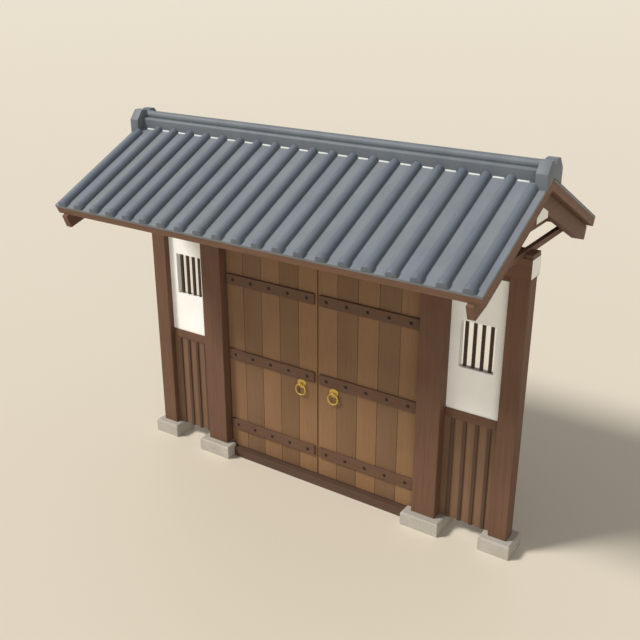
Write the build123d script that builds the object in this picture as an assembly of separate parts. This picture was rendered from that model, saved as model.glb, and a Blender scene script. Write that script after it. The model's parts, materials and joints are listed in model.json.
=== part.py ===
from build123d import *
import math
import os

# Roofed wooden gate: two inward swinging leaves between a pair of main posts, a narrow
# plastered bay on each side, and a tiled gable roof carried by one long beam over the posts.
# Millimetres. X runs along the gate, the front is towards -Y, and Z is up.
# The origin is the middle of the underside of the sill.

# Main posts and doorway
clear_opening = 2000.0
inner_post_width = 220.0
inner_post_depth = 208.0
outer_post_width = 158.0
outer_post_depth = 132.0
side_bay_clear = 463.0
post_top = 2352.0
post_edge_chamfer = 5.0

# Stone plinths
inner_plinth_width = 352.0
inner_plinth_depth = 348.0
inner_plinth_height = 120.0
outer_plinth_width = 272.0
outer_plinth_depth = 259.0
outer_plinth_height = 124.0
plinth_bevel = 12.0

# Sill between the plinths
sill_depth = 156.0
sill_height = 85.0

# Long beam, and the plate on it
main_beam_overhang = 7.0
main_beam_depth = 164.0
main_beam_height = 153.0
top_plate_thickness = 32.0
top_plate_depth = 150.0

# Plastered side bays
rail_front = -20.0
rail_back = 55.0
head_rail_height = 62.0
mid_rail_bottom = 1062.0
mid_rail_height = 78.0
plaster_front = -10.0
plaster_back = 45.0
window_width = 290.0
window_height = 390.0
window_bottom = 1518.0
wainscot_bottom = 126.0
wainscot_front = -9.0
wainscot_thickness = 24.0
wainscot_batten_width = 30.0
wainscot_batten_thickness = 11.0
wainscot_batten_pitch = 104.0
wainscot_batten_count = 4

# Leaves
leaf_front = -25.0
leaf_thickness = 45.0
leaf_bottom_gap = 8.0
leaf_top_gap = 10.0
leaf_side_gap = 10.0
leaf_meeting_gap = 12.0
leaf_board_count = 5
board_groove_width = 5.0
board_groove_depth = 4.0
hinge_stile_radius = 25.0
hinge_front_chamfer = 6.0
batten_thickness = 20.0
batten_height = 100.0
low_batten_height = 330.0
middle_batten_height = 1062.0
high_batten_height = 1795.0
batten_meeting_inset = 19.0
batten_hinge_inset = 15.0
pivot_pin_radius = 12.0
pivot_clearance = 0.5
pivot_length = 40.0
pivot_end_clearance = 0.3
plinth_notch_front = -45.0

# Ring pulls
pull_from_middle = 170.0
pull_plate_below_batten = 2.0
pull_plate_radius = 45.0
pull_plate_thickness = 10.0
pull_plate_edge = 4.0
lug_thickness = 8.0
lug_wall = 5.0
ring_radius = 50.0
ring_tube_radius = 7.0
ring_section_sides = 8
ring_turn_sides = 40
ring_lug_clearance = 0.6
ring_stand_off = 12.0
ring_hang_drop = 4.0

# Roof form
roof_pitch = 26.04
apex_above_beam = 489.0
eave_reach = 1040.65
gable_overhang = 62.0
rafter_depth = 38.0
deck_thickness = 15.4
fascia_thickness = 20.0
tile_bed_thickness = 30.5

# Roof timbers
field_rafter_width = 45.0
field_rafter_count = 9
field_rafter_margin = 312.0
gable_rafter_width = 40.0
bargeboard_thickness = 60.0
bargeboard_depth = 137.5
bargeboard_setback = 53.0
bargeboard_tip_run = 1184.0
bargeboard_nose_run = 1194.5
bargeboard_nose_depth = 110.5
bargeboard_heel_run = 1026.0
ridge_beam_width = 216.0
ridge_beam_end_cover = 113.4
ridge_beam_height = 226.0
arm_height = 48.0
outer_arm_width = 40.0
inner_arm_width = 100.0
arm_half_length = 860.0
tie_height = 91.0
tie_width = 40.0
purlin_inner_face = 740.0
purlin_width = 60.0
king_post_width = 100.0

# Tile rolls and ridge
roll_count = 21
roll_edge_margin = 90.0
roll_radius = 43.0
cap_radius = 51.0
cap_length = 60.0
ridge_box_half_width = 80.0
ridge_box_rise = 52.6
ridge_roll_radius = 52.0
ridge_roll_skirt = 11.0
ornament_thickness = 88.0
ornament_overhang = 8.0
ornament_half_width = 142.0
ornament_shoulder_rise = 40.6
ornament_top_half_width = 80.0
ornament_crown_height = 79.0

# Places that follow from the sizes above
half_opening = clear_opening / 2
batten_centre_heights = (low_batten_height, middle_batten_height, high_batten_height)
pull_plate_height = middle_batten_height - batten_height / 2 - pull_plate_below_batten - pull_plate_radius
inner_post_x = half_opening + inner_post_width / 2
bay_inner_x = half_opening + inner_post_width
bay_outer_x = bay_inner_x + side_bay_clear
bay_centre_x = (bay_inner_x + bay_outer_x) / 2
outer_post_x = bay_outer_x + outer_post_width / 2
main_beam_half_length = outer_post_x + outer_post_width / 2 + main_beam_overhang
main_beam_top = post_top + main_beam_height
arm_top = main_beam_top + arm_height
mid_rail_top = mid_rail_bottom + mid_rail_height
head_rail_bottom = post_top - head_rail_height
leaf_back = leaf_front + leaf_thickness
leaf_bottom = sill_height + leaf_bottom_gap
leaf_top = post_top - leaf_top_gap
leaf_outer_x = half_opening - leaf_side_gap
leaf_inner_x = leaf_meeting_gap / 2
pivot_x = leaf_outer_x - hinge_stile_radius
pivot_y = leaf_back - hinge_stile_radius
pitch_angle = math.radians(roof_pitch)
slope_cos = math.cos(pitch_angle)
slope_sin = math.sin(pitch_angle)
slope_tan = math.tan(pitch_angle)
eave_run = eave_reach / slope_cos
deck_bottom = rafter_depth
deck_top = rafter_depth + deck_thickness
tile_top = deck_top + tile_bed_thickness
roof_underside_apex = main_beam_top + apex_above_beam
roof_half_length = main_beam_half_length + gable_overhang
bargeboard_outer_face = roof_half_length - bargeboard_setback
bargeboard_inner_face = bargeboard_outer_face - bargeboard_thickness
ridge_beam_bottom = roof_underside_apex - ridge_beam_height
tie_bottom = ridge_beam_bottom - tie_height
field_rafter_span = 2 * (outer_post_x - field_rafter_margin)
roll_pitch = 2 * (roof_half_length - roll_edge_margin) / (roll_count - 1)
tile_peak = roof_underside_apex + tile_top / slope_cos
ridge_box_top = tile_peak + ridge_box_rise
ornament_outer_face = roof_half_length + ornament_overhang
ornament_inner_face = ornament_outer_face - ornament_thickness
ornament_shoulder = tile_peak + ornament_shoulder_rise
ornament_top = ornament_shoulder + ornament_crown_height


def box_between(x0, x1, y0, y1, z0, z1):
    centre = ((x0 + x1) / 2, (y0 + y1) / 2, (z0 + z1) / 2)
    return Pos(*centre) * Box(x1 - x0, y1 - y0, z1 - z0)


def other_end(shape):
    return mirror(shape, about=Plane.YZ)


def other_slope(shape):
    return mirror(shape, about=Plane.XZ)


def slope_point(run, height):
    # Front slope: run is measured down the slope from the apex of the underside plane,
    # and height is square to that plane.
    y = -(run * slope_cos + height * slope_sin)
    z = roof_underside_apex - run * slope_sin + height * slope_cos
    return (y, z)


def layer_height(y, height):
    # Level of a layer's surface over the distance y from the middle.
    return roof_underside_apex - abs(y) * slope_tan + height / slope_cos


def prism_along_x(points, x0, x1):
    face = make_face(Polyline(*points, close=True))
    placed = Plane(origin=(x0, 0, 0), x_dir=(0, 1, 0), z_dir=(1, 0, 0)) * face
    return extrude(placed, amount=x1 - x0)


def slope_layer(height0, height1, run_end, x0, x1):
    points = [
        (0, layer_height(0, height0)),
        slope_point(run_end, height0),
        slope_point(run_end, height1),
        (0, layer_height(0, height1)),
    ]
    return prism_along_x(points, x0, x1)


def post(centre_x, width, depth, foot):
    half = width / 2
    shaft = box_between(centre_x - half, centre_x + half, -depth / 2, depth / 2, foot, post_top)
    return chamfer(shaft.edges().filter_by(Axis.Z), post_edge_chamfer)


def plinth(centre_x, width, depth, height):
    half = width / 2
    stone = box_between(centre_x - half, centre_x + half, -depth / 2, depth / 2, 0, height)
    return chamfer(stone.faces().sort_by(Axis.Z)[-1].edges(), plinth_bevel)


def inner_plinth():
    # The doorway side is cut back so that the leaf passes and the sill seats in the stone.
    stone = plinth(inner_post_x, inner_plinth_width, inner_plinth_depth, inner_plinth_height)
    stone_edge = inner_post_x - inner_plinth_width / 2
    notch = box_between(stone_edge - 1, half_opening, plinth_notch_front, inner_plinth_depth,
                        -1, inner_plinth_height + 1)
    return stone - notch


def pivot_bore(side, z0, z1):
    radius = pivot_pin_radius + pivot_clearance
    return Pos(side * pivot_x, pivot_y, (z0 + z1) / 2) * Cylinder(radius, z1 - z0)


def sill():
    stone_edge = inner_post_x - inner_plinth_width / 2
    front = box_between(-stone_edge, stone_edge, -sill_depth / 2, plinth_notch_front, 0, sill_height)
    back = box_between(-half_opening, half_opening, plinth_notch_front, sill_depth / 2, 0, sill_height)
    bore_bottom = leaf_bottom - pivot_length - pivot_end_clearance
    body = front + back
    for side in (-1, 1):
        body -= pivot_bore(side, bore_bottom, sill_height + 1)
    return body


def main_beam():
    half_depth = main_beam_depth / 2
    body = box_between(-main_beam_half_length, main_beam_half_length, -half_depth, half_depth,
                       post_top, main_beam_top)
    bore_top = leaf_top + pivot_length + pivot_end_clearance
    for side in (-1, 1):
        body -= pivot_bore(side, post_top - 1, bore_top)
    return body


def top_plates():
    # Pieces on the beam between the arms that cross it, and a short end piece at each end.
    half_depth = top_plate_depth / 2
    top = main_beam_top + top_plate_thickness
    inner_gap = inner_arm_width / 2
    outer_gap = outer_arm_width / 2
    spans = [(-(inner_post_x - inner_gap), inner_post_x - inner_gap)]
    for side in (-1, 1):
        near = sorted((side * (inner_post_x + inner_gap), side * (outer_post_x - outer_gap)))
        far = sorted((side * (outer_post_x + outer_gap), side * main_beam_half_length))
        spans += [near, far]
    return [box_between(x0, x1, -half_depth, half_depth, main_beam_top, top) for x0, x1 in spans]


def cross_arms():
    arms = []
    for side in (-1, 1):
        for centre, width in ((inner_post_x, inner_arm_width), (outer_post_x, outer_arm_width)):
            x0 = side * centre - width / 2
            arms.append(box_between(x0, x0 + width, -arm_half_length, arm_half_length,
                                    main_beam_top, arm_top))
    return arms


def upper_ties():
    bottom_reach = (roof_underside_apex - tie_bottom) / slope_tan
    top_reach = (roof_underside_apex - ridge_beam_bottom) / slope_tan
    points = [
        (-bottom_reach, tie_bottom),
        (bottom_reach, tie_bottom),
        (top_reach, ridge_beam_bottom),
        (-top_reach, ridge_beam_bottom),
    ]
    ties = []
    for side in (-1, 1):
        x0 = side * outer_post_x - tie_width / 2
        ties.append(prism_along_x(points, x0, x0 + tie_width))
    return ties


def king_posts():
    half = king_post_width / 2
    posts = []
    for side in (-1, 1):
        centre = side * inner_post_x
        posts.append(box_between(centre - half, centre + half, -half, half, arm_top, ridge_beam_bottom))
    return posts


def ridge_beam_end():
    # The stub of the ridge beam that shows between the bargeboards, cut down to fit under them.
    half = ridge_beam_width / 2
    points = [
        (-half, ridge_beam_bottom),
        (half, ridge_beam_bottom),
        (half, layer_height(half, -ridge_beam_end_cover)),
        (0, layer_height(0, -ridge_beam_end_cover)),
        (-half, layer_height(half, -ridge_beam_end_cover)),
    ]
    return prism_along_x(points, bargeboard_inner_face, bargeboard_outer_face)


def ridge_beam():
    half = ridge_beam_width / 2
    full = [
        (-half, ridge_beam_bottom),
        (half, ridge_beam_bottom),
        (half, layer_height(half, 0)),
        (0, roof_underside_apex),
        (-half, layer_height(half, 0)),
    ]
    body = prism_along_x(full, -bargeboard_inner_face, bargeboard_inner_face)
    end = ridge_beam_end()
    return body + end + other_end(end)


def front_purlin():
    outer_face = purlin_inner_face + purlin_width
    points = [
        (-outer_face, arm_top),
        (-purlin_inner_face, arm_top),
        (-purlin_inner_face, layer_height(purlin_inner_face, 0)),
        (-outer_face, layer_height(outer_face, 0)),
    ]
    return prism_along_x(points, -bargeboard_inner_face, bargeboard_inner_face)


def rafter_places():
    # Centre and width of every rafter: field rafters, one over each tie, one over each
    # bargeboard and one flush with each gable edge.
    step = field_rafter_span / (field_rafter_count - 1)
    places = [(-field_rafter_span / 2 + i * step, field_rafter_width) for i in range(field_rafter_count)]
    for side in (-1, 1):
        places.append((side * outer_post_x, tie_width))
        places.append((side * (bargeboard_inner_face + bargeboard_thickness / 2), bargeboard_thickness))
        places.append((side * (roof_half_length - gable_rafter_width / 2), gable_rafter_width))
    return places


def front_rafters():
    run_end = eave_run - fascia_thickness
    return [slope_layer(0, deck_bottom, run_end, x - width / 2, x + width / 2)
            for x, width in rafter_places()]


def front_deck():
    return slope_layer(deck_bottom, deck_top, eave_run - fascia_thickness,
                       -roof_half_length, roof_half_length)


def front_fascia():
    points = [
        slope_point(eave_run - fascia_thickness, 0),
        slope_point(eave_run, 0),
        slope_point(eave_run, deck_top),
        slope_point(eave_run - fascia_thickness, deck_top),
    ]
    return prism_along_x(points, -roof_half_length, roof_half_length)


def front_bargeboard(side):
    # The lower edge turns up from the heel to the nose, and the ridge beam's end lies in a notch.
    points = [
        (0, roof_underside_apex),
        slope_point(bargeboard_tip_run, 0),
        slope_point(bargeboard_nose_run, -bargeboard_nose_depth),
        slope_point(bargeboard_heel_run, -bargeboard_depth),
        (0, layer_height(0, -bargeboard_depth)),
    ]
    board = prism_along_x(points, bargeboard_inner_face, bargeboard_outer_face) - ridge_beam_end()
    return board if side > 0 else other_end(board)


def front_tile_bed():
    return slope_layer(deck_top, tile_top, eave_run, -roof_half_length, roof_half_length)


def half_round(radius, x, run0, run1):
    # Half-round bar lying on the tile bed, from run0 down to run1.
    y, z = slope_point(run1, tile_top)
    section = make_face(CenterArc((0, 0), radius, 0, 180) + Line((-radius, 0), (radius, 0)))
    plane = Plane(origin=(x, y, z), x_dir=(-1, 0, 0), z_dir=(0, slope_cos, slope_sin))
    return extrude(plane * section, amount=run1 - run0)


def front_tile_rolls():
    # Each roll starts at the foot of the ridge, or of the end ornament over it.
    rolls = []
    for i in range(roll_count):
        x = (i - (roll_count - 1) / 2) * roll_pitch
        under_ornament = abs(x) + roll_radius > ornament_inner_face
        top_edge = ornament_half_width if under_ornament else ridge_box_half_width
        long_bar = half_round(roll_radius, x, 0, eave_run - cap_length)
        cap = half_round(cap_radius, x, eave_run - cap_length, eave_run)
        clear = box_between(x - cap_radius, x + cap_radius, -top_edge, cap_radius,
                            roof_underside_apex - roll_radius, ornament_top)
        rolls.append((long_bar + cap) - clear)
    return rolls


def ridge_box():
    half = ridge_box_half_width
    points = [
        (-half, layer_height(half, tile_top)),
        (0, layer_height(0, tile_top)),
        (half, layer_height(half, tile_top)),
        (half, ridge_box_top),
        (-half, ridge_box_top),
    ]
    return prism_along_x(points, -ornament_inner_face, ornament_inner_face)


def ridge_roll():
    r = ridge_roll_radius
    arc = CenterArc((0, ridge_box_top + ridge_roll_skirt), r, 0, 180)
    sides = Polyline((-r, ridge_box_top + ridge_roll_skirt), (-r, ridge_box_top),
                     (r, ridge_box_top), (r, ridge_box_top + ridge_roll_skirt))
    face = make_face(arc + sides)
    placed = Plane(origin=(-ornament_inner_face, 0, 0), x_dir=(0, 1, 0), z_dir=(1, 0, 0)) * face
    return extrude(placed, amount=2 * ornament_inner_face)


def ridge_ornament():
    wide = ornament_half_width
    narrow = ornament_top_half_width
    points = [
        (-wide, layer_height(wide, tile_top)),
        (0, layer_height(0, tile_top)),
        (wide, layer_height(wide, tile_top)),
        (wide, ornament_shoulder),
        (narrow, ornament_top),
        (-narrow, ornament_top),
        (-wide, ornament_shoulder),
    ]
    return prism_along_x(points, ornament_inner_face, ornament_outer_face)


def bay_rails():
    mid = box_between(bay_inner_x, bay_outer_x, rail_front, rail_back, mid_rail_bottom, mid_rail_top)
    head = box_between(bay_inner_x, bay_outer_x, rail_front, rail_back, head_rail_bottom, post_top)
    return [mid, head]


def plaster_panel():
    panel = box_between(bay_inner_x, bay_outer_x, plaster_front, plaster_back, mid_rail_top,
                        head_rail_bottom)
    window = box_between(bay_centre_x - window_width / 2, bay_centre_x + window_width / 2,
                         plaster_front - 1, plaster_back + 1,
                         window_bottom, window_bottom + window_height)
    return panel - window


def wainscot():
    return box_between(bay_inner_x, bay_outer_x, wainscot_front, wainscot_front + wainscot_thickness,
                       wainscot_bottom, mid_rail_bottom)


def wainscot_battens():
    battens = []
    for i in range(wainscot_batten_count):
        centre = bay_centre_x + (i - (wainscot_batten_count - 1) / 2) * wainscot_batten_pitch
        battens.append(box_between(centre - wainscot_batten_width / 2, centre + wainscot_batten_width / 2,
                                   wainscot_front - wainscot_batten_thickness, wainscot_front,
                                   wainscot_bottom, mid_rail_bottom))
    return battens


def leaf_boards():
    # Right-hand leaf: a boarded slab with a rounded hinge edge and a pivot pin at each end.
    slab = box_between(leaf_inner_x, leaf_outer_x, leaf_front, leaf_back, leaf_bottom, leaf_top)
    hinge_edges = slab.edges().filter_by(Axis.Z).sort_by(Axis.X)[-2:]
    back_edge = hinge_edges.sort_by(Axis.Y)[-1]
    slab = fillet(back_edge, hinge_stile_radius - 0.01)
    front_edge = slab.edges().filter_by(Axis.Z).sort_by(Axis.X)[-4:].sort_by(Axis.Y)[0]
    slab = chamfer(front_edge, hinge_front_chamfer)
    board_width = half_opening / leaf_board_count
    for i in range(1, leaf_board_count):
        x = i * board_width
        for face_y in (leaf_front, leaf_back):
            slab -= box_between(x - board_groove_width / 2, x + board_groove_width / 2,
                                face_y - board_groove_depth, face_y + board_groove_depth,
                                leaf_bottom - 1, leaf_top + 1)
    low_pin = Pos(pivot_x, pivot_y, leaf_bottom - pivot_length / 2) * Cylinder(pivot_pin_radius, pivot_length)
    high_pin = Pos(pivot_x, pivot_y, leaf_top + pivot_length / 2) * Cylinder(pivot_pin_radius, pivot_length)
    return slab + low_pin + high_pin


def leaf_battens():
    x0 = leaf_inner_x + batten_meeting_inset
    x1 = leaf_outer_x - batten_hinge_inset
    battens = []
    for centre in batten_centre_heights:
        bar = box_between(x0, x1, leaf_front - batten_thickness, leaf_front,
                          centre - batten_height / 2, centre + batten_height / 2)
        battens.append(chamfer(bar.faces().sort_by(Axis.Y)[0].edges(), 3))
    return battens


def pull_axis():
    y = leaf_front - pull_plate_thickness - ring_stand_off
    return (y, pull_plate_height - ring_hang_drop)


def pull_plate():
    y, z = pull_axis()
    disc = Pos(pull_from_middle, leaf_front - pull_plate_thickness / 2, pull_plate_height) \
        * Rot(90, 0, 0) * Cylinder(pull_plate_radius, pull_plate_thickness)
    disc = chamfer(disc.faces().sort_by(Axis.Y)[0].edges(), pull_plate_edge)
    hole_radius = ring_tube_radius + ring_lug_clearance
    lug_radius = hole_radius + lug_wall
    neck = box_between(pull_from_middle - lug_thickness / 2, pull_from_middle + lug_thickness / 2,
                       y, leaf_front - pull_plate_thickness, z - lug_radius, z + lug_radius)
    eye = Pos(pull_from_middle, y, z) * Rot(0, 90, 0) * Cylinder(lug_radius, lug_thickness)
    hole = Pos(pull_from_middle, y, z) * Rot(0, 90, 0) * Cylinder(hole_radius, 2 * lug_thickness)
    return disc + neck + eye - hole


def ring_corner(turn_index, side_index):
    # A corner of the ring's flat-sided bar, about the ring's own centre.
    turn = 2 * math.pi * turn_index / ring_turn_sides
    side = 2 * math.pi * side_index / ring_section_sides
    reach = ring_radius + ring_tube_radius * math.cos(side)
    return (reach * math.cos(turn), ring_tube_radius * math.sin(side), reach * math.sin(turn))


def pull_ring():
    # A forged ring: a flat-sided bar bent round in short straight lengths.
    y, z = pull_axis()
    faces = []
    for i in range(ring_turn_sides):
        for k in range(ring_section_sides):
            corners = [ring_corner(i, k), ring_corner(i + 1, k),
                       ring_corner(i + 1, k + 1), ring_corner(i, k + 1)]
            faces.append(Face(Wire.make_polygon([Vector(*c) for c in corners], close=True)))
    ring = Solid(Shell(faces))
    return Pos(pull_from_middle, y, z - ring_radius) * ring


def both_ends(solids):
    return list(solids) + [other_end(solid) for solid in solids]


def save(name, solids):
    if not isinstance(solids, (list, tuple)):
        solids = [solids]
    shape = solids[0] if len(solids) == 1 else Compound(children=list(solids))
    export_step(shape, os.path.join("parts", name + ".step"))


def save_pair(name, solid):
    save("right_" + name, solid)
    save("left_" + name, other_end(solid))


def save_slopes(name, solids):
    if not isinstance(solids, (list, tuple)):
        solids = [solids]
    save("front_" + name, solids)
    save("rear_" + name, [other_slope(solid) for solid in solids])


def main():
    os.makedirs("parts", exist_ok=True)

    save("sill", sill())
    save_pair("inner_plinth", inner_plinth())
    save_pair("outer_plinth", plinth(outer_post_x, outer_plinth_width, outer_plinth_depth,
                                     outer_plinth_height))
    save_pair("inner_post", post(inner_post_x, inner_post_width, inner_post_depth, inner_plinth_height))
    save_pair("outer_post", post(outer_post_x, outer_post_width, outer_post_depth, outer_plinth_height))
    save("main_beam", main_beam())
    save("top_plates", top_plates())

    save("bay_rails", both_ends(bay_rails()))
    save_pair("plaster_panel", plaster_panel())
    save_pair("wainscot", wainscot())
    save("wainscot_battens", both_ends(wainscot_battens()))

    save("cross_arms", cross_arms())
    save("upper_ties", upper_ties())
    save("king_posts", king_posts())
    save("ridge_beam", ridge_beam())
    save("eave_purlins", [front_purlin(), other_slope(front_purlin())])
    save_slopes("rafters", front_rafters())
    save_slopes("roof_deck", front_deck())
    save("fascias", [front_fascia(), other_slope(front_fascia())])
    save_slopes("bargeboards", [front_bargeboard(-1), front_bargeboard(1)])

    save_slopes("tile_bed", front_tile_bed())
    save_slopes("tile_rolls", front_tile_rolls())
    save("ridge_box", ridge_box())
    save("ridge_roll", ridge_roll())
    save("ridge_ornaments", both_ends([ridge_ornament()]))

    save_pair("leaf_boards", leaf_boards())
    leaf = leaf_battens()
    save("right_leaf_battens", leaf)
    save("left_leaf_battens", [other_end(bar) for bar in leaf])
    save_pair("pull_plate", pull_plate())
    save_pair("pull_ring", pull_ring())


main()
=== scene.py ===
import json
import math

import bmesh
import bpy
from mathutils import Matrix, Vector


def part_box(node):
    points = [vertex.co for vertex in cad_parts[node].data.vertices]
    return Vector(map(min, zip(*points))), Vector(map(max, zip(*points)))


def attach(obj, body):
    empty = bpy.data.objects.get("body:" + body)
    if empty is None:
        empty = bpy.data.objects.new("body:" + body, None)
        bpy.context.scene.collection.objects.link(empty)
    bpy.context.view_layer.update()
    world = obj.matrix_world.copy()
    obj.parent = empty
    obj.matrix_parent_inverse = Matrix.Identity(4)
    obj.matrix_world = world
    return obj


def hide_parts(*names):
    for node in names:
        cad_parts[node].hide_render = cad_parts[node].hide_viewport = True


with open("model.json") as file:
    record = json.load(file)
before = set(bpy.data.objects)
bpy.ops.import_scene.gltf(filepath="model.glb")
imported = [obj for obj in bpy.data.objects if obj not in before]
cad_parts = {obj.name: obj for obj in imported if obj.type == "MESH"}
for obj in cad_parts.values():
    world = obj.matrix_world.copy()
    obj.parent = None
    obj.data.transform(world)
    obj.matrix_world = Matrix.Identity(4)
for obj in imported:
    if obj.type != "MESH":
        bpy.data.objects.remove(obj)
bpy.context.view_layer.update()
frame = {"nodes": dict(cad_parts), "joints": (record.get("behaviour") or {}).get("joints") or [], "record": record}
scene = bpy.context.scene

# Colours, written as they look on screen, from 0 to 255
WHITE = (255, 255, 255)
FRAME_BROWN = (104, 75, 57)
ROOF_EDGE_BROWN = (118, 88, 70)
BARGEBOARD_BROWN = (106, 78, 62)
TONGUE_BROWN = (70, 52, 38)
PIN_BROWN = (96, 74, 52)
DOOR_BATTEN_BROWN = (98, 71, 54)
SILL_BROWN = (84, 62, 50)
WAINSCOT_BROWN = (118, 90, 68)
WAINSCOT_BATTEN_BROWN = (80, 59, 45)
WINDOW_BAR_BROWN = (62, 48, 38)
GRAIN_LINE_TINT = (234, 229, 224)
GRAIN_DRIFT_TINT = (232, 228, 224)
PLASTER_WHITE = (248, 248, 243)
PAINT_WHITE = (250, 248, 240)
MORTAR_WHITE = (238, 240, 236)
STONE_GREY = (178, 172, 161)
STONE_FLECK_TINT = (205, 202, 196)
TILE_GREY = (119, 125, 131)
TILE_ROLL_GREY = (99, 106, 116)
RIDGE_GREY = (104, 110, 116)
TILE_SMOKE_TINT = (240, 242, 247)
TILE_CLEAR_TINT = (255, 255, 253)
BRASS_YELLOW = (206, 172, 84)
IRON_BROWN = (34, 22, 18)
FLOOR_CREAM = (218, 208, 190)

# The boards of each leaf, from the meeting edge outwards
BOARD_TONES = {
    "left": ((140, 106, 74), (121, 92, 64), (138, 104, 74), (121, 93, 67), (129, 98, 71)),
    "right": ((139, 106, 75), (120, 92, 65), (138, 104, 73), (120, 92, 67), (135, 103, 72)),
}

# How far the grain is drawn out along each direction
GRAIN_SCALE = {"X": (0.9, 22, 22), "Y": (22, 0.9, 22), "Z": (22, 22, 0.9)}
WOOD_CONTRAST = 0.09
BOARD_CONTRAST = 0.06

# Points nearer than this are taken as one place, in metres
NEAR = 1e-4
POINT_DECIMALS = 5
WELD_DISTANCE = 0.00005

# How edges are rounded
ROUNDING_SEGMENTS = 2
ROUNDING_PROFILE = 0.6
ARRIS_ANGLE = 40

# Leaves, in metres
SIDE_SIGN = {"left": -1, "right": 1}
BOARD_COUNT = 5
BOARD_WIDTH = 0.2
BOARD_GAP = 0.0035
BOARD_ROUNDING = 0.0025
TONGUE_WIDTH = 0.020
TONGUE_THICKNESS = 0.012
TONGUE_END_INSET = 0.002
MEETING_CLEARANCE = 0.0016
STILE_RADIUS = 0.025
STILE_CHAMFER = 0.006
STILE_ARC_STEPS = 8
PIN_LENGTH = 0.040
PIN_RADIUS = 0.012
PIN_SIDES = 28
BATTEN_HEIGHT = 0.1
STUD_SIZE = 0.026
STUD_HEIGHT = 0.009
STUD_SHOULDER_SIZE = 0.92
STUD_SHOULDER_HEIGHT = 0.35
RING_TUBE = 0.0074
RING_STEPS_AROUND = 64
RING_STEPS_ACROSS = 16

# Stop strip over the leaves, clear of their hinge edges as they swing, in metres
HEAD_STOP_REACH = 0.996
HEAD_STOP_GAP = 0.0095
HEAD_STOP_DEPTH = 0.022
HEAD_STOP_DROP = 0.030
HEAD_STOP_ROUNDING = 0.002

# Window bars, in metres
BAR_COUNT = 4
BAR_WIDTH = 0.025
BAR_DEPTH = 0.020
BAR_PITCH = 0.070
BAR_INSET = 0.020
BAR_END_HOLD = 0.002
BAR_ROUNDING = 0.0015

# Paint on the beam ends, with how far it stays inside each end's edge, in metres
PAINT_THICKNESS = 0.0008
PAINT_INSETS = {"main_beam": 0.004, "ridge_beam": 0.002}

# Tiles, in metres
PAN_TILE_THICKNESS = 0.020
LEAST_BED_THICKNESS = 0.01
ROLL_COUNT = 21
ROLL_PITCH = 0.182
ROLL_RADIUS = 0.0365
ROLL_LIFT = 0.003
ROLL_STEPS = 18
ROLL_HEAD_COVER = 0.01
CAP_RADIUS = 0.044
CAP_LENGTH = 0.052
CAP_STEP = 0.001
CAP_STEP_EASING = 0.003
CAP_ROUNDING = 0.005
CAP_LIP = 0.0015
CAP_LIP_EASING = 0.002
CAP_FACE_EASING = 0.006

# Ridge, in metres
MORTAR_WIDTH = 0.088
MORTAR_HEIGHT = 0.009
MORTAR_DEPTH = 0.006
MORTAR_ROUNDING = 0.004
COURSE_TOP_LAP = 0.004
COURSE_FOOT_SINK = 0.002
COURSE_TOP_CHAMFER = 0.014
COURSE_ROUNDING = 0.0015
RIDGE_ROLL_RADIUS = 0.037
RIDGE_ROLL_SINK = 0.006
RIDGE_ROLL_STEPS = 40
ORNAMENT_NOTCH_WIDTH = 0.044
ORNAMENT_NOTCH_DEPTH = 0.034
ORNAMENT_NOTCH_FOOT = 0.32
ORNAMENT_FOOT_SINK = 0.008
ORNAMENT_ROUNDING = 0.005

# Floor, walls and camera, in metres, degrees and millimetres of lens
FLOOR_HALF = 400.0
FLOOR_ROUGHNESS = 0.52
FLOOR_SPECULAR = 0.5
WALL_COLOUR = (1.0, 0.985, 0.955, 1.0)
WALL_LIGHT = 0.20
WALL_SEEN = 0.96
CAMERA_PLACE = (3.876479, -5.766816, 4.477916)
CAMERA_PITCH = 67.507
CAMERA_YAW = 33.866
CAMERA_LENS = 49.733
CAMERA_SENSOR = 36.0

# Each lamp's name, place, strength, spread in degrees and colour
LAMPS = (
    ("key", (-4.2, -3.9, 6.0), 3.1, 14, (1.0, 0.985, 0.955)),
    ("overhead", (0.3, -0.6, 6.0), 0.3, 110, (1.0, 0.99, 0.97)),
    ("fill", (4.6, -5.4, 1.0), 0.85, 40, (1.0, 0.985, 0.96)),
)


# Material nodes

def linear(rgb):
    # A colour as it looks on screen, turned into the light values that a shader takes.
    channels = []
    for value in rgb:
        share = value / 255
        channels.append(share / 12.92 if share <= 0.04045 else ((share + 0.055) / 1.055) ** 2.4)
    return (*channels, 1.0)


def shade_of(rgb, factor):
    return tuple(min(255, value * factor) for value in rgb)


def new_material(name):
    material = bpy.data.materials.new(name)
    material.use_nodes = True
    tree = material.node_tree
    return material, tree, tree.nodes["Principled BSDF"]


def add_node(tree, kind, **values):
    node = tree.nodes.new(kind)
    for key, value in values.items():
        setattr(node, key, value)
    return node


def mapped(tree, scale=(1, 1, 1)):
    coords = add_node(tree, "ShaderNodeTexCoord")
    mapping = add_node(tree, "ShaderNodeMapping")
    mapping.inputs["Scale"].default_value = scale
    tree.links.new(coords.outputs["Object"], mapping.inputs["Vector"])
    return mapping.outputs["Vector"]


def noise(tree, coords, scale, detail, rough=0.55):
    node = add_node(tree, "ShaderNodeTexNoise")
    node.inputs["Scale"].default_value = scale
    node.inputs["Detail"].default_value = detail
    node.inputs["Roughness"].default_value = rough
    tree.links.new(coords, node.inputs["Vector"])
    return node.outputs["Fac"]


def ramp(tree, factor, stops):
    # Colours at places along a factor that runs from 0 to 1.
    node = add_node(tree, "ShaderNodeValToRGB")
    elements = node.color_ramp.elements
    while len(elements) < len(stops):
        elements.new(0.5)
    for element, (place, rgb) in zip(elements, stops):
        element.position = place
        element.color = linear(rgb)
    tree.links.new(factor, node.inputs["Fac"])
    return node.outputs["Color"]


def shades(tree, factor, rgb, *stops):
    # One colour, made darker or lighter at places along a factor.
    return ramp(tree, factor, [(place, shade_of(rgb, share)) for place, share in stops])


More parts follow.
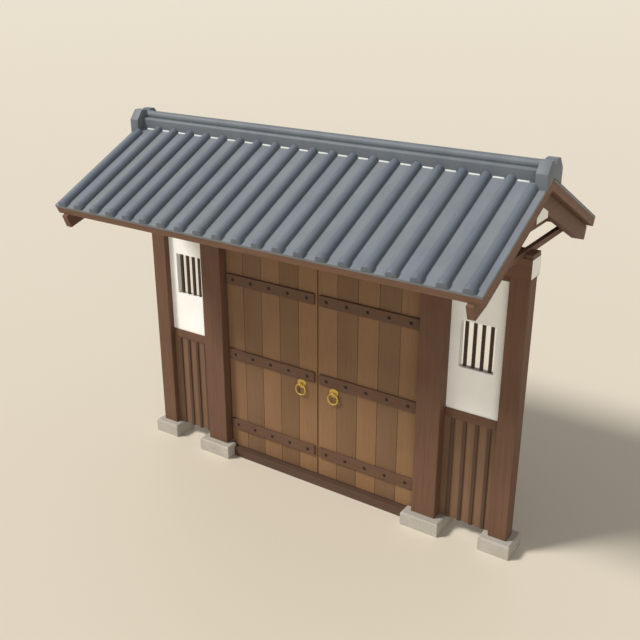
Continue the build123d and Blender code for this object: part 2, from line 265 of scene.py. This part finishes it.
def multiply(tree, share, base, tint):
    # The mix node's two colour inputs are its sockets 6 and 7, and its colour output is socket 2.
    node = add_node(tree, "ShaderNodeMix", data_type="RGBA", blend_type="MULTIPLY")
    node.inputs[0].default_value = share
    tree.links.new(base, node.inputs[6])
    tree.links.new(tint, node.inputs[7])
    return node.outputs[2]


def add_bump(tree, shader, height, strength, distance):
    node = add_node(tree, "ShaderNodeBump")
    node.inputs["Strength"].default_value = strength
    node.inputs["Distance"].default_value = distance
    tree.links.new(height, node.inputs["Height"])
    tree.links.new(node.outputs["Normal"], shader.inputs["Normal"])


def finish_surface(tree, shader, base, rough, specular=0.5):
    tree.links.new(base, shader.inputs["Base Color"])
    shader.inputs["Roughness"].default_value = rough
    shader.inputs["Specular IOR Level"].default_value = specular


# Materials

def wood(name, rgb, along, contrast=WOOD_CONTRAST, toned_by_board=False):
    # Stained softwood: long grain streaks, a broad drift of tone and fine pores.
    material, tree, shader = new_material(name)
    grain = mapped(tree, GRAIN_SCALE[along])
    streaks = noise(tree, grain, 2.2, detail=6)
    pores = noise(tree, grain, 9.0, detail=3, rough=0.7)
    drift = noise(tree, mapped(tree), 1.6, detail=2)
    base = shades(tree, streaks, rgb, (0.25, 1 - contrast), (0.5, 1), (0.75, 1 + contrast * 0.8))
    base = multiply(tree, 0.5, base, ramp(tree, pores, [(0.36, GRAIN_LINE_TINT), (0.5, WHITE)]))
    base = multiply(tree, 0.7, base, ramp(tree, drift, [(0.3, GRAIN_DRIFT_TINT), (0.7, WHITE)]))
    if toned_by_board:
        tone = add_node(tree, "ShaderNodeAttribute", attribute_name="board_tone")
        base = multiply(tree, 1.0, base, tone.outputs["Color"])
    finish_surface(tree, shader, base, rough=0.62, specular=0.3)
    add_bump(tree, shader, pores, 0.12, 0.002)
    return material


def plaster():
    # Smooth lime plaster: faint clouds and a fine grit.
    material, tree, shader = new_material("lime_plaster")
    place = mapped(tree)
    cloud = noise(tree, place, 2.5, detail=4)
    grit = noise(tree, place, 90, detail=3)
    base = shades(tree, cloud, PLASTER_WHITE, (0.3, 0.965), (0.65, 1))
    finish_surface(tree, shader, base, rough=0.9, specular=0.2)
    add_bump(tree, shader, grit, 0.08, 0.001)
    return material


def end_paint():
    material, tree, shader = new_material("white_end_paint")
    cloud = noise(tree, mapped(tree), 14, detail=5)
    base = shades(tree, cloud, PAINT_WHITE, (0.3, 0.97), (0.6, 1))
    finish_surface(tree, shader, base, rough=0.75)
    return material


def stone():
    # Dressed pale stone: broad clouds under small dark flecks.
    material, tree, shader = new_material("plinth_stone")
    place = mapped(tree)
    speckle = noise(tree, place, 140, detail=2, rough=0.8)
    cloud = noise(tree, place, 5, detail=5)
    base = shades(tree, cloud, STONE_GREY, (0.3, 0.94), (0.7, 1.03))
    base = multiply(tree, 0.8, base, ramp(tree, speckle, [(0.34, STONE_FLECK_TINT), (0.5, WHITE)]))
    finish_surface(tree, shader, base, rough=0.88)
    add_bump(tree, shader, speckle, 0.25, 0.0015)
    return material


def tile(name, rgb):
    # Smoked clay: even blue grey with soft clouding and a low sheen.
    material, tree, shader = new_material(name)
    place = mapped(tree)
    cloud = noise(tree, place, 3.2, detail=4)
    smoke = noise(tree, mapped(tree, (5.5, 1.2, 1.2)), 1.7, detail=3)
    grit = noise(tree, place, 160, detail=2)
    base = shades(tree, cloud, rgb, (0.3, 0.955), (0.7, 1.03))
    base = multiply(tree, 0.9, base, ramp(tree, smoke, [(0.35, TILE_SMOKE_TINT), (0.65, TILE_CLEAR_TINT)]))
    finish_surface(tree, shader, base, rough=0.55, specular=0.35)
    add_bump(tree, shader, grit, 0.06, 0.0008)
    return material


def mortar():
    material, tree, shader = new_material("white_mortar")
    grit = noise(tree, mapped(tree), 60, detail=3)
    base = shades(tree, grit, MORTAR_WHITE, (0.3, 0.97), (0.6, 1))
    finish_surface(tree, shader, base, rough=0.92)
    add_bump(tree, shader, grit, 0.1, 0.001)
    return material


def brass():
    # Handled brass: half metallic, with darker worn patches.
    material, tree, shader = new_material("worn_brass")
    wear = noise(tree, mapped(tree), 30, detail=4)
    base = shades(tree, wear, BRASS_YELLOW, (0.3, 0.82), (0.65, 1))
    finish_surface(tree, shader, base, rough=0.4)
    shader.inputs["Metallic"].default_value = 0.5
    add_bump(tree, shader, wear, 0.08, 0.001)
    return material


def iron():
    # Old iron, browned all over and so not shiny.
    material, tree, shader = new_material("dark_iron")
    wear = noise(tree, mapped(tree), 70, detail=3)
    base = shades(tree, wear, IRON_BROWN, (0.3, 0.8), (0.7, 1.3))
    finish_surface(tree, shader, base, rough=0.7, specular=0.3)
    return material


LOOKS = {
    "post": wood("post_wood", FRAME_BROWN, "Z"),
    "beam": wood("beam_wood", FRAME_BROWN, "X"),
    "cross": wood("cross_wood", FRAME_BROWN, "Y"),
    "edge": wood("roof_edge_wood", ROOF_EDGE_BROWN, "X"),
    "gable": wood("gable_edge_wood", ROOF_EDGE_BROWN, "Y"),
    "bargeboard": wood("bargeboard_wood", BARGEBOARD_BROWN, "Y"),
    "board": wood("door_board_wood", WHITE, "Z", BOARD_CONTRAST, toned_by_board=True),
    "batten": wood("door_batten_wood", DOOR_BATTEN_BROWN, "X"),
    "sill": wood("sill_wood", SILL_BROWN, "X"),
    "wainscot": wood("wainscot_wood", WAINSCOT_BROWN, "Z"),
    "wainscot_batten": wood("wainscot_batten_wood", WAINSCOT_BATTEN_BROWN, "Z"),
    "bar": wood("window_bar_wood", WINDOW_BAR_BROWN, "Z"),
    "plaster": plaster(),
    "paint": end_paint(),
    "stone": stone(),
    "tile": tile("pan_tile", TILE_GREY),
    "roll": tile("roll_tile", TILE_ROLL_GREY),
    "ridge": tile("ridge_tile", RIDGE_GREY),
    "mortar": mortar(),
    "brass": brass(),
    "iron": iron(),
}


# Solids that stay in view, with the look of each and the rounding of its arrises in metres

NODE_LOOKS = (
    (("sill",), "sill", 0.004),
    (("left_inner_plinth", "right_inner_plinth", "left_outer_plinth", "right_outer_plinth"), "stone", 0.005),
    (("left_inner_post", "right_inner_post", "left_outer_post", "right_outer_post"), "post", 0.003),
    (("main_beam", "top_plates", "ridge_beam", "eave_purlins", "bay_rails"), "beam", 0.005),
    (("cross_arms", "upper_ties"), "cross", 0.004),
    (("king_posts",), "post", 0.004),
    (("front_rafters", "rear_rafters"), "gable", 0.002),
    (("front_roof_deck", "rear_roof_deck"), "edge", 0.002),
    (("fascias",), "edge", 0.004),
    (("front_bargeboards", "rear_bargeboards"), "bargeboard", 0.006),
    (("left_plaster_panel", "right_plaster_panel"), "plaster", 0.003),
    (("left_wainscot", "right_wainscot"), "wainscot", 0.001),
    (("wainscot_battens",), "wainscot_batten", 0.003),
    (("left_leaf_battens", "right_leaf_battens"), "batten", 0.003),
    (("left_pull_plate", "right_pull_plate"), "brass", 0.0),
)


def paint_node(node_name, material):
    piece = frame["nodes"][node_name]
    piece.data.materials.clear()
    piece.data.materials.append(material)


def soften(node_name, width):
    # Rounds the sharp arrises of a solid, which keeps its place and its outside size.
    piece = frame["nodes"][node_name]
    weld = piece.modifiers.new("weld", "WELD")
    weld.merge_threshold = WELD_DISTANCE
    bevel = piece.modifiers.new("arris", "BEVEL")
    bevel.width = width
    bevel.segments = ROUNDING_SEGMENTS
    bevel.limit_method = "ANGLE"
    bevel.angle_limit = math.radians(ARRIS_ANGLE)
    bevel.harden_normals = True


for node_names, look, arris in NODE_LOOKS:
    for node_name in node_names:
        paint_node(node_name, LOOKS[look])
        if arris > 0:
            soften(node_name, arris)


# Mesh building

def object_from(name, shape, look, body, smooth_angle=None):
    bmesh.ops.recalc_face_normals(shape, faces=shape.faces)
    mesh = bpy.data.meshes.new(name)
    shape.to_mesh(mesh)
    shape.free()
    piece = bpy.data.objects.new(name, mesh)
    scene.collection.objects.link(piece)
    mesh.materials.append(LOOKS[look])
    if smooth_angle is not None:
        mesh.polygons.foreach_set("use_smooth", [True] * len(mesh.polygons))
        mesh.set_sharp_from_angle(angle=math.radians(smooth_angle))
    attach(piece, body)
    return piece


def ease(shape, edges, width):
    bmesh.ops.bevel(shape, geom=edges, offset=width, segments=ROUNDING_SEGMENTS, profile=ROUNDING_PROFILE,
                    affect="EDGES", clamp_overlap=True)


def add_box(shape, low, high, rounding=0.0):
    # A box between two corners, with every edge rounded over.
    verts = bmesh.ops.create_cube(shape, size=1.0)["verts"]
    bmesh.ops.scale(shape, vec=Vector(high) - Vector(low), verts=verts)
    bmesh.ops.translate(shape, vec=(Vector(high) + Vector(low)) / 2, verts=verts)
    if rounding > 0:
        ease(shape, list({edge for vert in verts for edge in vert.link_edges}), rounding)


def band(shape, first, second):
    # The side faces between two closed rings with the same number of points.
    faces = []
    for k in range(len(first)):
        after = (k + 1) % len(first)
        faces.append(shape.faces.new((first[k], first[after], second[after], second[k])))
    return faces


def add_form(shape, outlines):
    # A closed form through a row of outlines with the same number of points.
    rings = [[shape.verts.new(point) for point in outline] for outline in outlines]
    faces = [shape.faces.new(rings[0]), shape.faces.new(list(reversed(rings[-1])))]
    for first, second in zip(rings, rings[1:]):
        faces += band(shape, first, second)
    return faces


def add_prism(shape, outline, x0, x1, rounding):
    # An outline in Y and Z, drawn out along X, with its arrises eased.
    faces = add_form(shape, [[(x, y, z) for y, z in outline] for x in (x0, x1)])
    bmesh.ops.recalc_face_normals(shape, faces=faces)
    ease(shape, list({edge for face in faces for edge in face.edges}), rounding)


def profile_points(node_name, least_x=-math.inf):
    # The different places in Y and Z of a solid's corners beyond a place along X.
    corners = [v.co for v in frame["nodes"][node_name].data.vertices if v.co.x > least_x]
    return sorted({(round(p.y, POINT_DECIMALS), round(p.z, POINT_DECIMALS)) for p in corners})


# The front slope, read back from its solid

bed_points = [v.co.copy() for v in frame["nodes"]["front_tile_bed"].data.vertices]
peak = max(bed_points, key=lambda p: p.z)
eave = min(bed_points, key=lambda p: p.y)
fall = Vector((0, eave.y - peak.y, eave.z - peak.z))
slope_length = fall.length
down = fall.normalized()
up_normal = Vector((0, down.z, -down.y))
pitch = math.atan2(-down.z, -down.y)
under_peak = max(p.z for p in bed_points if abs(p.y) < NEAR and p.z < peak.z - LEAST_BED_THICKNESS)
bed_thickness = (peak.z - under_peak) * math.cos(pitch)
roof_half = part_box("front_tile_bed")[1].x
box_low, box_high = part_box("ridge_box")


def slope_point(rear, x, run, height):
    # A point over the tile surface of one slope, by its way down from the peak.
    point = Vector((x, peak.y, peak.z)) + down * run + up_normal * height
    return Vector((point.x, -point.y if rear else point.y, point.z))


def slope_name(rear):
    return "rear" if rear else "front"


def slope_sheet(rear, under, over):
    # A sheet over one whole slope, between two depths below the tile surface.
    section = [(-under * math.tan(pitch), -under), (slope_length, -under), (slope_length, -over),
               (-over * math.tan(pitch), -over)]
    shape = bmesh.new()
    add_form(shape, [[slope_point(rear, x, run, height) for run, height in section]
                     for x in (-roof_half, roof_half)])
    return shape


def pan_tiles(rear):
    tiles = slope_sheet(rear, PAN_TILE_THICKNESS, 0.0)
    piece = object_from(slope_name(rear) + "_pan_tiles", tiles, "tile", "root")
    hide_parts(slope_name(rear) + "_tile_bed")


def under_boarding(rear):
    # Fills the rest of the tile bed's depth.
    boards = slope_sheet(rear, bed_thickness, PAN_TILE_THICKNESS)
    object_from(slope_name(rear) + "_under_boarding", boards, "edge", "root")


def roll_outline(rear, x, run, radius):
    outline = []
    for k in range(ROLL_STEPS + 1):
        angle = math.pi * k / ROLL_STEPS
        height = math.sin(angle) * radius + ROLL_LIFT
        outline.append(slope_point(rear, x + math.cos(angle) * radius, run, height))
    return outline


def add_roll(shape, rear, x, start):
    # One row of half-round cover tiles, ending in the larger eave cap.
    cap_start = slope_length - CAP_LENGTH
    profile = [
        (start, ROLL_RADIUS),
        (cap_start, ROLL_RADIUS),
        (cap_start + CAP_STEP, CAP_RADIUS - CAP_STEP_EASING),
        (cap_start + CAP_ROUNDING, CAP_RADIUS),
        (slope_length - CAP_ROUNDING, CAP_RADIUS),
        (slope_length - CAP_LIP, CAP_RADIUS - CAP_LIP_EASING),
        (slope_length, CAP_RADIUS - CAP_FACE_EASING),
    ]
    add_form(shape, [roll_outline(rear, x, run, radius) for run, radius in profile])


def cover_tiles(rear):
    # The outermost rolls start under the end ornaments, and the others under the ridge box.
    shape = bmesh.new()
    ornament_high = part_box("ridge_ornaments")[1]
    for i in range(ROLL_COUNT):
        x = (i - (ROLL_COUNT - 1) / 2) * ROLL_PITCH
        cover = ornament_high if i in (0, ROLL_COUNT - 1) else box_high
        add_roll(shape, rear, x, cover.y / math.cos(pitch) - ROLL_HEAD_COVER)
    name = slope_name(rear)
    piece = object_from(name + "_cover_tiles", shape, "roll", "root", smooth_angle=35)
    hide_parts(name + "_tile_rolls")


def ridge_mortar(rear):
    # White mortar where the flat tiles between two rolls meet the ridge box.
    shape = bmesh.new()
    box_face = box_high.y if rear else box_low.y
    mortar_face = box_face + (MORTAR_DEPTH if rear else -MORTAR_DEPTH)
    foot = slope_point(rear, 0, box_high.y / math.cos(pitch), 0).z
    for i in range(ROLL_COUNT - 1):
        x = (i + 0.5 - (ROLL_COUNT - 1) / 2) * ROLL_PITCH
        if abs(x) > box_high.x - MORTAR_WIDTH / 2:
            continue
        low = (x - MORTAR_WIDTH / 2, min(box_face, mortar_face), foot - MORTAR_DEPTH * math.tan(pitch))
        high = (x + MORTAR_WIDTH / 2, max(box_face, mortar_face), foot + MORTAR_HEIGHT)
        add_box(shape, low, high, rounding=MORTAR_ROUNDING)
    object_from(slope_name(rear) + "_ridge_mortar", shape, "mortar", "root", smooth_angle=40)


def ridge_course():
    # The tall course along the ridge, with a chamfer along each top edge and a foot that fits the slopes.
    half = box_high.y
    top = box_high.z + COURSE_TOP_LAP
    foot = peak.z - half * math.tan(pitch) - COURSE_FOOT_SINK
    chamfer = COURSE_TOP_CHAMFER
    outline = [(-half, foot), (0, peak.z - COURSE_FOOT_SINK), (half, foot), (half, top - chamfer),
               (half - chamfer, top), (-half + chamfer, top), (-half, top - chamfer)]
    shape = bmesh.new()
    add_prism(shape, outline, box_low.x, box_high.x, COURSE_ROUNDING)
    piece = object_from("ridge_course", shape, "ridge", "root", smooth_angle=25)
    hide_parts("ridge_box")


def ridge_cover():
    # The round cover tiles along the top, cut flat where they sit on the course.
    low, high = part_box("ridge_roll")
    centre = high.z - RIDGE_ROLL_SINK - RIDGE_ROLL_RADIUS
    outline = []
    for k in range(RIDGE_ROLL_STEPS):
        angle = 2 * math.pi * k / RIDGE_ROLL_STEPS
        z = max(centre + RIDGE_ROLL_RADIUS * math.sin(angle), box_high.z)
        outline.append((RIDGE_ROLL_RADIUS * math.cos(angle), z))
    shape = bmesh.new()
    add_form(shape, [[(x, y, z) for y, z in outline] for x in (low.x, high.x)])
    piece = object_from("ridge_cover", shape, "ridge", "root", smooth_angle=35)
    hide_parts("ridge_roll")


def ridge_end_tiles():
    # The end ornaments' own outline, with a notch in the crown and a foot let into the tiles.
    points = profile_points("ridge_ornaments")
    side_points = sorted([p for p in points if p[0] < -NEAR], key=lambda p: p[1])
    foot_y, foot_z = side_points[0]
    middle_y, middle_z = [p for p in points if abs(p[0]) < NEAR][0]
    crown = side_points[-1][1]
    half_outline = [(foot_y, foot_z - ORNAMENT_FOOT_SINK)] + side_points[1:]
    half_outline.append((-ORNAMENT_NOTCH_WIDTH / 2, crown))
    half_outline.append((-ORNAMENT_NOTCH_WIDTH * ORNAMENT_NOTCH_FOOT, crown - ORNAMENT_NOTCH_DEPTH))
    outline = half_outline + [(-y, z) for y, z in reversed(half_outline)]
    outline.append((middle_y, middle_z - ORNAMENT_FOOT_SINK))
    places = [v.co.x for v in frame["nodes"]["ridge_ornaments"].data.vertices if v.co.x > 0]
    inner = round(min(places), POINT_DECIMALS)
    outer = round(max(places), POINT_DECIMALS)
    shape = bmesh.new()
    add_prism(shape, outline, inner, outer, ORNAMENT_ROUNDING)
    add_prism(shape, outline, -outer, -inner, ORNAMENT_ROUNDING)
    piece = object_from("ridge_end_tiles", shape, "ridge", "root", smooth_angle=25)
    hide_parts("ridge_ornaments")


for rear in (False, True):
    pan_tiles(rear)
    under_boarding(rear)
    cover_tiles(rear)
    ridge_mortar(rear)
ridge_course()
ridge_cover()
ridge_end_tiles()


# Leaves

hinge = next(joint for joint in frame["joints"] if joint["name"] == "right_door_hinge")
pin_x = abs(hinge["pos_m"][0])
pin_y = hinge["pos_m"][1]


def add_tinted(shape, tone_layer, rgb, add, *values, **options):
    # Adds something to a leaf and gives its faces one tone.
    before = set(shape.faces)
    add(shape, *values, **options)
    tone = linear(rgb)
    for face in set(shape.faces) - before:
        for loop in face.loops:
            loop[tone_layer] = tone


def add_leaf_box(shape, sign, near, far, front, back, bottom, top, rounding=0.0):
    # A box on either leaf, between two distances from the middle of the doorway.
    low_x, high_x = sorted((sign * near, sign * far))
    add_box(shape, (low_x, front, bottom), (high_x, back, top), rounding)


def add_hinge_board(shape, sign, near, far, front, back, bottom, top):
    # The board beside the post, with its back corner rounded about the pivot.
    outline = [(near, front), (far - STILE_CHAMFER, front), (far, front + STILE_CHAMFER)]
    for k in range(STILE_ARC_STEPS + 1):
        angle = math.pi / 2 * k / STILE_ARC_STEPS
        outline.append((pin_x + STILE_RADIUS * math.cos(angle), pin_y + STILE_RADIUS * math.sin(angle)))
    outline.append((near, back))
    add_form(shape, [[(sign * x, y, z) for x, y in outline] for z in (bottom, top)])


def add_pin(shape, sign, bottom, top):
    made = bmesh.ops.create_cone(shape, cap_ends=True, segments=PIN_SIDES, radius1=PIN_RADIUS,
                                 radius2=PIN_RADIUS, depth=top - bottom)
    bmesh.ops.translate(shape, vec=(sign * pin_x, pin_y, (bottom + top) / 2), verts=made["verts"])


def door_planks(side):
    # Boards with their own tones over the leaf's full thickness, tongues between them, and the pivot pins.
    low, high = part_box(side + "_leaf_boards")
    sign = SIDE_SIGN[side]
    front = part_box(side + "_leaf_battens")[1].y
    back = high.y
    bottom = low.z + PIN_LENGTH
    top = high.z - PIN_LENGTH
    inner = min(abs(low.x), abs(high.x))
    outer = max(abs(low.x), abs(high.x))
    joints = [i * BOARD_WIDTH for i in range(1, BOARD_COUNT)]
    edges = [inner] + joints + [outer]
    shape = bmesh.new()
    tone_layer = shape.loops.layers.float_color.new("board_tone")
    for i, tone in enumerate(BOARD_TONES[side]):
        last = i == BOARD_COUNT - 1
        near = edges[i] + (BOARD_GAP / 2 if i > 0 else 0)
        far = edges[i + 1] - (0 if last else BOARD_GAP / 2)
        space = (sign, near, far, front, back, bottom, top)
        if last:
            add_tinted(shape, tone_layer, tone, add_hinge_board, *space)
        else:
            add_tinted(shape, tone_layer, tone, add_leaf_box, *space, rounding=BOARD_ROUNDING)

    # A loose tongue closes each joint between two boards, and another narrows the gap where the leaves meet
    middle = (front + back) / 2
    spans = [(joint - TONGUE_WIDTH / 2, joint + TONGUE_WIDTH / 2) for joint in joints]
    spans.append((MEETING_CLEARANCE / 2, inner + TONGUE_WIDTH / 2))
    for near, far in spans:
        space = (sign, near, far, middle - TONGUE_THICKNESS / 2, middle + TONGUE_THICKNESS / 2,
                 bottom + TONGUE_END_INSET, top - TONGUE_END_INSET)
        add_tinted(shape, tone_layer, TONGUE_BROWN, add_leaf_box, *space)

    for pin_bottom, pin_top in ((low.z, bottom), (top, high.z)):
        add_tinted(shape, tone_layer, PIN_BROWN, add_pin, sign, pin_bottom, pin_top)
    piece = object_from(side + "_door_planks", shape, "board", side + "_door", smooth_angle=30)
    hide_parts(side + "_leaf_boards")


def batten_heights(side):
    # The middle of each batten, from the levels of their corners.
    battens = frame["nodes"][side + "_leaf_battens"]
    levels = sorted({round(v.co.z, POINT_DECIMALS - 1) for v in battens.data.vertices})
    groups = [[levels[0]]]
    for level in levels[1:]:
        if level - groups[-1][-1] > 2 * BATTEN_HEIGHT:
            groups.append([level])
        else:
            groups[-1].append(level)
    return [(group[0] + group[-1]) / 2 for group in groups]


def stud_square(shape, x, y, z, half):
    corners = ((-1, -1), (1, -1), (1, 1), (-1, 1))
    return [shape.verts.new((x + across * half, y, z + up * half)) for across, up in corners]


def add_stud(shape, x, face, z):
    # A square nail head with a low pointed top.
    half = STUD_SIZE / 2
    base = stud_square(shape, x, face, z, half)
    shoulder = stud_square(shape, x, face - STUD_HEIGHT * STUD_SHOULDER_HEIGHT, z, half * STUD_SHOULDER_SIZE)
    tip = shape.verts.new((x, face - STUD_HEIGHT, z))
    band(shape, base, shoulder)
    for k in range(4):
        shape.faces.new((shoulder[k], shoulder[(k + 1) % 4], tip))
    shape.faces.new(list(reversed(base)))


def batten_studs(side):
    # One nail head over the middle of each board, on each batten.
    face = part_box(side + "_leaf_battens")[0].y
    shape = bmesh.new()
    for z in batten_heights(side):
        for i in range(BOARD_COUNT):
            add_stud(shape, SIDE_SIGN[side] * (i + 0.5) * BOARD_WIDTH, face, z)
    object_from(side + "_batten_studs", shape, "iron", side + "_door")


def pull_ring(side):
    low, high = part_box(side + "_pull_ring")
    centre = (low + high) / 2
    radius = (high.x - low.x) / 2 - RING_TUBE
    shape = bmesh.new()
    rings = []
    for i in range(RING_STEPS_AROUND):
        around = 2 * math.pi * i / RING_STEPS_AROUND
        ring = []
        for j in range(RING_STEPS_ACROSS):
            across = 2 * math.pi * j / RING_STEPS_ACROSS
            reach = radius + RING_TUBE * math.cos(across)
            depth = RING_TUBE * math.sin(across)
            offset = Vector((reach * math.cos(around), depth, reach * math.sin(around)))
            ring.append(shape.verts.new(centre + offset))
        rings.append(ring)
    for first, second in zip(rings, rings[1:] + rings[:1]):
        band(shape, first, second)
    piece = object_from(side + "_ring", shape, "brass", side + "_ring", smooth_angle=60)
    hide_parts(side + "_pull_ring")


for side in ("left", "right"):
    door_planks(side)
    batten_studs(side)
    pull_ring(side)


# Trim on the frame

def head_stop():
    # A strip under the long beam, just in front of the leaves, that hides the gap over them.
    leaf_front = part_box("right_leaf_battens")[1].y
    beam_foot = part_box("main_beam")[0].z
    back = leaf_front - HEAD_STOP_GAP
    shape = bmesh.new()
    add_box(shape, (-HEAD_STOP_REACH, back - HEAD_STOP_DEPTH, beam_foot - HEAD_STOP_DROP),
            (HEAD_STOP_REACH, back, beam_foot), rounding=HEAD_STOP_ROUNDING)
    object_from("head_stop", shape, "beam", "root")


def window_bars(side):
    # Upright bars in one window, their ends just let into the plaster.
    panel_low, panel_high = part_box(side + "_plaster_panel")
    openings = frame["record"]["physics"]["openings"]
    opening = next(hole for hole in openings if hole["name"] == side + "_window")
    bottom = opening["box_m"][0][2] - BAR_END_HOLD
    top = opening["box_m"][1][2] + BAR_END_HOLD
    centre = (panel_low.x + panel_high.x) / 2
    front = panel_low.y + BAR_INSET
    shape = bmesh.new()
    for i in range(BAR_COUNT):
        x = centre + (i - (BAR_COUNT - 1) / 2) * BAR_PITCH
        add_box(shape, (x - BAR_WIDTH / 2, front, bottom), (x + BAR_WIDTH / 2, front + BAR_DEPTH, top),
                rounding=BAR_ROUNDING)
    object_from(side + "_window_bars", shape, "bar", "root")


def end_paint_on(beam, inset):
    # Lime paint on the end grain at both ends of a beam, just inside the rounded arrises.
    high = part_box(beam)[1]
    outline = profile_points(beam, high.x - NEAR)
    middle_y = sum(y for y, z in outline) / len(outline)
    middle_z = sum(z for y, z in outline) / len(outline)
    outline.sort(key=lambda p: math.atan2(p[1] - middle_z, p[0] - middle_y))
    share_y = 1 - inset / max(abs(y - middle_y) for y, z in outline)
    share_z = 1 - inset / max(abs(z - middle_z) for y, z in outline)
    painted = [(middle_y + (y - middle_y) * share_y, middle_z + (z - middle_z) * share_z) for y, z in outline]
    shape = bmesh.new()
    for sign in (-1, 1):
        add_form(shape, [[(sign * x, y, z) for y, z in painted] for x in (high.x, high.x + PAINT_THICKNESS)])
    object_from(beam + "_end_paint", shape, "paint", "root")


head_stop()
for side in ("left", "right"):
    window_bars(side)
for beam, inset in PAINT_INSETS.items():
    end_paint_on(beam, inset)


# Floor, light and camera

def make_floor():
    mesh = bpy.data.meshes.new("floor")
    half = FLOOR_HALF
    corners = [(-half, -half, 0), (half, -half, 0), (half, half, 0), (-half, half, 0)]
    mesh.from_pydata(corners, [], [(0, 1, 2, 3)])
    floor = bpy.data.objects.new("floor", mesh)
    scene.collection.objects.link(floor)
    material, tree, shader = new_material("floor_cream")
    shader.inputs["Base Color"].default_value = linear(FLOOR_CREAM)
    shader.inputs["Roughness"].default_value = FLOOR_ROUGHNESS
    shader.inputs["Specular IOR Level"].default_value = FLOOR_SPECULAR
    mesh.materials.append(material)


def make_world():
    # The studio walls are bright where they are seen or mirrored, and dim as a source of light.
    world = bpy.data.worlds.new("studio")
    scene.world = world
    world.use_nodes = True
    tree = world.node_tree
    background = tree.nodes["Background"]
    background.inputs["Color"].default_value = WALL_COLOUR
    path = add_node(tree, "ShaderNodeLightPath")
    seen = add_node(tree, "ShaderNodeMath", operation="MAXIMUM")
    tree.links.new(path.outputs["Is Camera Ray"], seen.inputs[0])
    tree.links.new(path.outputs["Is Glossy Ray"], seen.inputs[1])
    strength = add_node(tree, "ShaderNodeMapRange")
    strength.inputs["To Min"].default_value = WALL_LIGHT
    strength.inputs["To Max"].default_value = WALL_SEEN
    tree.links.new(seen.outputs[0], strength.inputs["Value"])
    tree.links.new(strength.outputs[0], background.inputs["Strength"])


def add_lamp(name, place, energy, spread, colour):
    light = bpy.data.lights.new(name, "SUN")
    light.energy = energy
    light.angle = math.radians(spread)
    light.color = colour
    lamp = bpy.data.objects.new(name, light)
    lamp.location = place
    lamp.rotation_euler = (-Vector(place)).to_track_quat("-Z", "Y").to_euler()
    scene.collection.objects.link(lamp)


def make_camera():
    data = bpy.data.cameras.new("camera")
    data.sensor_width = CAMERA_SENSOR
    data.lens = CAMERA_LENS
    camera = bpy.data.objects.new("camera", data)
    camera.location = CAMERA_PLACE
    camera.rotation_euler = (math.radians(CAMERA_PITCH), 0.0, math.radians(CAMERA_YAW))
    scene.collection.objects.link(camera)
    scene.camera = camera


make_floor()
make_world()
# A soft key from the front left, a broad light overhead and a weak one from the front right
for lamp_values in LAMPS:
    add_lamp(*lamp_values)
make_camera()
scene.view_settings.view_transform = "Standard"
